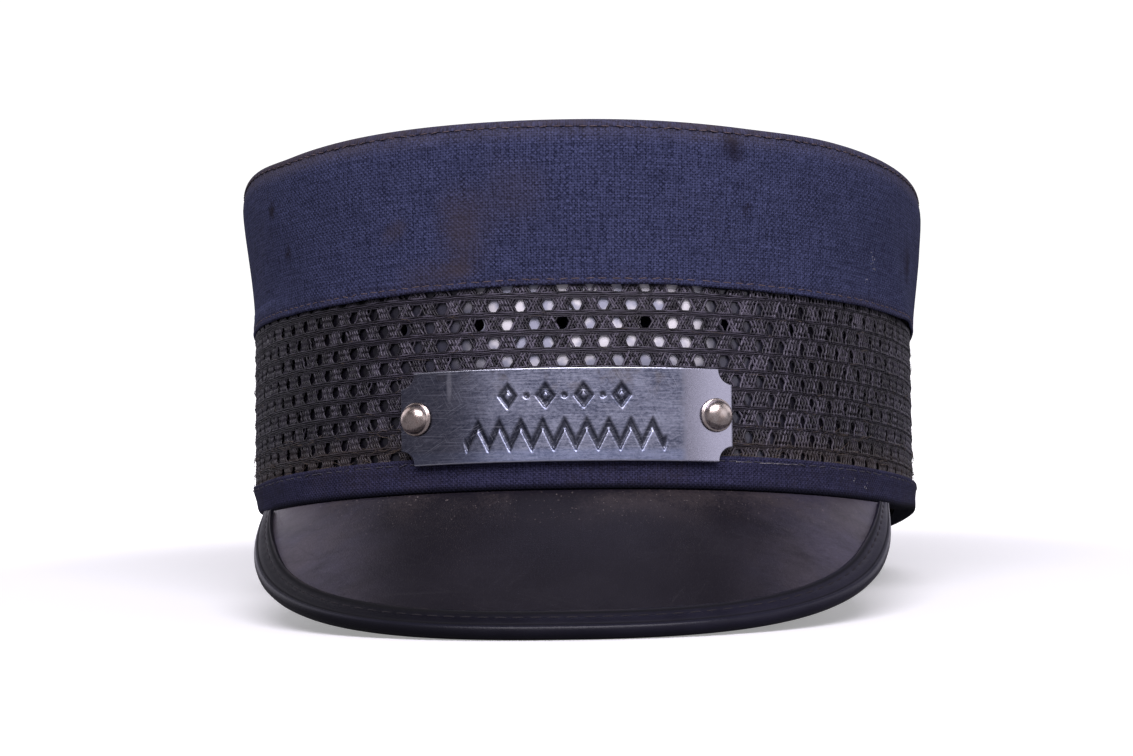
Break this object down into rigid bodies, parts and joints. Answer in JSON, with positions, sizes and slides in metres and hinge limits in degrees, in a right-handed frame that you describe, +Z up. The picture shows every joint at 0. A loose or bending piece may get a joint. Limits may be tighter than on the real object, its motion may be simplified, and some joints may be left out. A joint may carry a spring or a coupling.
{
  "type": "conductor cap",
  "caption": "Stiff pillbox cap of navy cloth with an open black straw band over a smooth liner, a bound leather visor and a riveted metal badge plate.",
  "frame": {"origin": "on the table under the middle of the cap's box", "axes": "+Z up, -Y towards the front of the cap, where the visor is, and +X to the right as the front is looked at"},
  "size_m": [0.1788, 0.262, 0.1188],
  "materials": {
    "navy_cloth": "matte plain weave, dusty and stained",
    "black_straw": "satin lacquered straw plait",
    "liner_board": "smooth gloss",
    "sweatband_leather": "worn satin",
    "visor_leather": "worn matte, rubbed brown at the edges",
    "binding_leather": "glossy patent",
    "badge_metal": "worn polish with fine scratches",
    "rivet_metal": "worn nickel over brass"
  },
  "bodies": {
    "root": {"crown_top": "navy_cloth", "crown_side": "navy_cloth", "straw_band": "black_straw", "liner": "liner_board", "rim_band": "navy_cloth", "sweatband": "sweatband_leather", "visor": "visor_leather", "visor_binding": "binding_leather", "badge": "badge_metal", "rivet_left": "rivet_metal", "rivet_right": "rivet_metal"}
  },
  "joints": []
}
